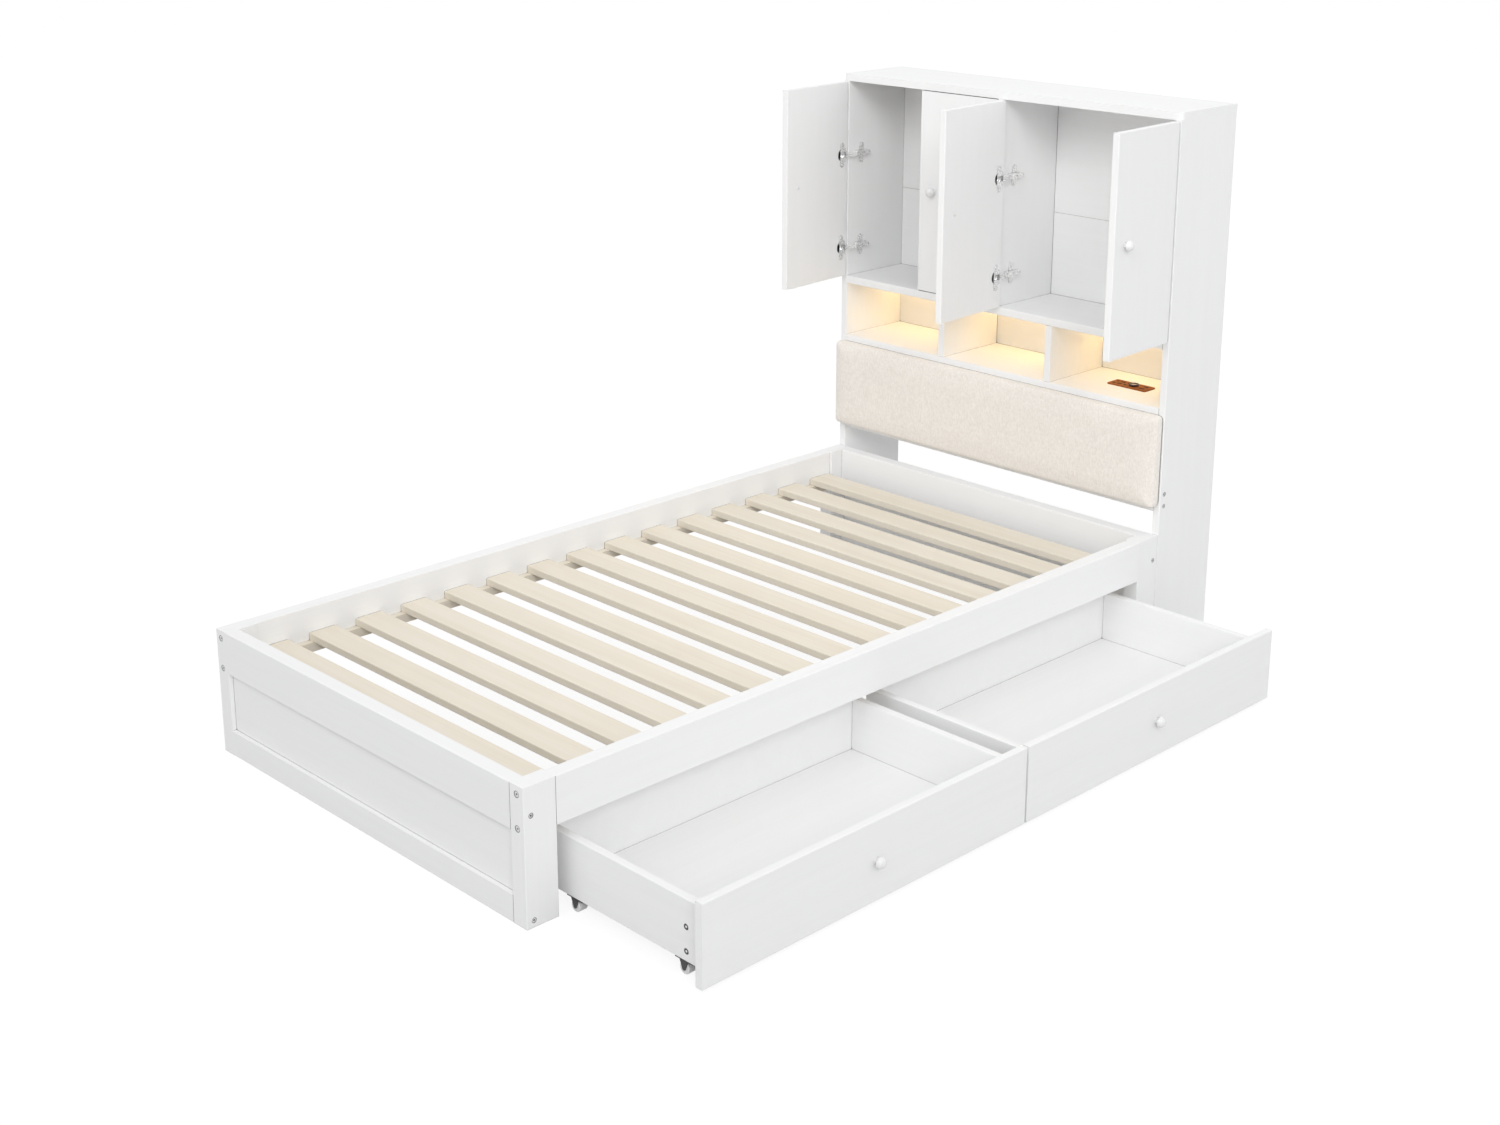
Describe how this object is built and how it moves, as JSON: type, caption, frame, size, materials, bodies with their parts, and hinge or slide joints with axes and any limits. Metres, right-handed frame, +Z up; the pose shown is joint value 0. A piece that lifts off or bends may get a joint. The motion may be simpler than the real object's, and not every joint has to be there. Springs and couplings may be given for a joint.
{
  "type": "storage bed",
  "caption": "Single storage bed with a slatted base, rolling under-bed drawers, and a bookcase headboard with a padded panel, lit cubbies and a cabinet with hinged doors.",
  "frame": {"origin": "on the floor, in the middle of the underside of the bottom rail at the foot", "axes": "+X across the bed towards the side where the drawers come out, +Y from the foot to the bookcase headboard, +Z up"},
  "size_m": [1.4902, 2.209, 1.332],
  "materials": {
    "white_paint": "satin white paint on wood board",
    "slat_wood": "planed and unpainted",
    "raw_board": "raw plywood",
    "linen": "woven linen look",
    "plated_steel": "nickel plated",
    "charger_plastic": "dark gloss",
    "light_diffuser": "frosted warm light strip",
    "caster_metal": "black enamel",
    "wheel_plastic": "moulded",
    "knob_paint": "gloss white paint"
  },
  "bodies": {
    "bed": {"foot_post_left": "white_paint", "foot_post_right": "white_paint", "head_post_left": "white_paint", "head_post_right": "white_paint", "foot_top_rail": "white_paint", "foot_bottom_rail": "white_paint", "head_top_rail": "white_paint", "head_bottom_rail": "white_paint", "end_panels": "white_paint", "side_rail_left": "white_paint", "side_rail_right": "white_paint", "ledgers": "slat_wood", "slats": "slat_wood", "frame_bolts": "plated_steel", "bookcase_side_left": "white_paint", "bookcase_side_right": "white_paint", "bookcase_top": "white_paint", "cabinet_shelf": "white_paint", "cabinet_divider": "white_paint", "cubby_dividers": "white_paint", "cubby_floor": "white_paint", "back_panels": "white_paint", "pad_cross_rail": "white_paint", "pad_board": "raw_board", "headboard_pad": "linen", "charging_plate": "charger_plastic", "light_strips": "light_diffuser", "hinge_arms": "plated_steel"},
    "door_1": {"door_1": "white_paint", "door_1_knob": "knob_paint", "door_1_hinge_cups": "plated_steel"},
    "door_1_links": {"door_1_hinge_links": "plated_steel"},
    "door_2": {"door_2": "white_paint", "door_2_knob": "knob_paint", "door_2_hinge_cups": "plated_steel"},
    "door_2_links": {"door_2_hinge_links": "plated_steel"},
    "door_3": {"door_3": "white_paint", "door_3_knob": "knob_paint", "door_3_hinge_cups": "plated_steel"},
    "door_3_links": {"door_3_hinge_links": "plated_steel"},
    "door_4": {"door_4": "white_paint", "door_4_knob": "knob_paint", "door_4_hinge_cups": "plated_steel"},
    "door_4_links": {"door_4_hinge_links": "plated_steel"},
    "drawer_1": {"drawer_1_front": "white_paint", "drawer_1_box": "white_paint", "drawer_1_bottom": "white_paint", "drawer_1_knob": "knob_paint", "drawer_1_connectors": "plated_steel", "drawer_1_casters": "caster_metal"},
    "drawer_1_front_wheels": {"drawer_1_front_wheels": "wheel_plastic"},
    "drawer_1_rear_wheels": {"drawer_1_rear_wheels": "wheel_plastic"},
    "drawer_2": {"drawer_2_front": "white_paint", "drawer_2_box": "white_paint", "drawer_2_bottom": "white_paint", "drawer_2_knob": "knob_paint", "drawer_2_connectors": "plated_steel", "drawer_2_casters": "caster_metal"},
    "drawer_2_front_wheels": {"drawer_2_front_wheels": "wheel_plastic"},
    "drawer_2_rear_wheels": {"drawer_2_rear_wheels": "wheel_plastic"}
  },
  "joints": [
    {"name": "door_1_hinge", "type": "hinge", "parent": "bed", "child": "door_1", "pos_m": [-0.533, 1.969, 1.0465], "axis": [0, 0, -1], "range_deg": [-85, 10]},
    {"name": "door_1_link_swing", "type": "hinge", "parent": "bed", "child": "door_1_links", "pos_m": [-0.502, 1.9755, 1.0465], "axis": [0, 0, -1], "range_deg": [-152, 19]},
    {"name": "door_2_hinge", "type": "hinge", "parent": "bed", "child": "door_2", "pos_m": [-0.00475, 1.967, 1.0465], "axis": [0, 0, 1], "range_deg": [0, 80]},
    {"name": "door_2_link_swing", "type": "hinge", "parent": "bed", "child": "door_2_links", "pos_m": [-0.0285, 1.9755, 1.0465], "axis": [0, 0, 1], "range_deg": [-1, 132]},
    {"name": "door_3_hinge", "type": "hinge", "parent": "bed", "child": "door_3", "pos_m": [0.00475, 1.967, 1.0465], "axis": [0, 0, -1], "range_deg": [-86, 0]},
    {"name": "door_3_link_swing", "type": "hinge", "parent": "bed", "child": "door_3_links", "pos_m": [0.0285, 1.9755, 1.0465], "axis": [0, 0, -1], "range_deg": [-133, 1]},
    {"name": "door_4_hinge", "type": "hinge", "parent": "bed", "child": "door_4", "pos_m": [0.533, 1.969, 1.0465], "axis": [0, 0, 1], "range_deg": [-93, 2]},
    {"name": "door_4_link_swing", "type": "hinge", "parent": "bed", "child": "door_4_links", "pos_m": [0.502, 1.9755, 1.0465], "axis": [0, 0, 1], "range_deg": [-153, 5]},
    {"name": "drawer_1_slide", "type": "slide", "parent": "bed", "child": "drawer_1", "axis": [1, 0, 0], "range_m": [-0.3865, 0.04]},
    {"name": "drawer_1_front_wheels_roll", "type": "hinge", "parent": "drawer_1", "child": "drawer_1_front_wheels", "pos_m": [0.8545, 0.5195, 0.0125], "axis": [0, 1, 0], "range_deg": [-1773, 185]},
    {"name": "drawer_1_rear_wheels_roll", "type": "hinge", "parent": "drawer_1", "child": "drawer_1_rear_wheels", "pos_m": [0.5495, 0.5195, 0.0125], "axis": [0, 1, 0], "range_deg": [-1773, 185]},
    {"name": "drawer_2_slide", "type": "slide", "parent": "bed", "child": "drawer_2", "axis": [1, 0, 0], "range_m": [-0.3865, 0.04]},
    {"name": "drawer_2_front_wheels_roll", "type": "hinge", "parent": "drawer_2", "child": "drawer_2_front_wheels", "pos_m": [0.8545, 1.4265, 0.0125], "axis": [0, 1, 0], "range_deg": [-1773, 185]},
    {"name": "drawer_2_rear_wheels_roll", "type": "hinge", "parent": "drawer_2", "child": "drawer_2_rear_wheels", "pos_m": [0.5495, 1.4265, 0.0125], "axis": [0, 1, 0], "range_deg": [-1773, 185]}
  ],
  "couplings": [
    {"joint": "door_1_link_swing", "follows": "door_1_hinge", "ratio": 1.7685},
    {"joint": "door_2_link_swing", "follows": "door_2_hinge", "ratio": 1.6349},
    {"joint": "door_3_link_swing", "follows": "door_3_hinge", "ratio": 1.5239},
    {"joint": "door_4_link_swing", "follows": "door_4_hinge", "ratio": 1.6256},
    {"joint": "drawer_1_front_wheels_roll", "follows": "drawer_1_slide", "rad_per_m": 80},
    {"joint": "drawer_1_rear_wheels_roll", "follows": "drawer_1_slide", "rad_per_m": 80},
    {"joint": "drawer_2_front_wheels_roll", "follows": "drawer_2_slide", "rad_per_m": 80},
    {"joint": "drawer_2_rear_wheels_roll", "follows": "drawer_2_slide", "rad_per_m": 80}
  ]
}
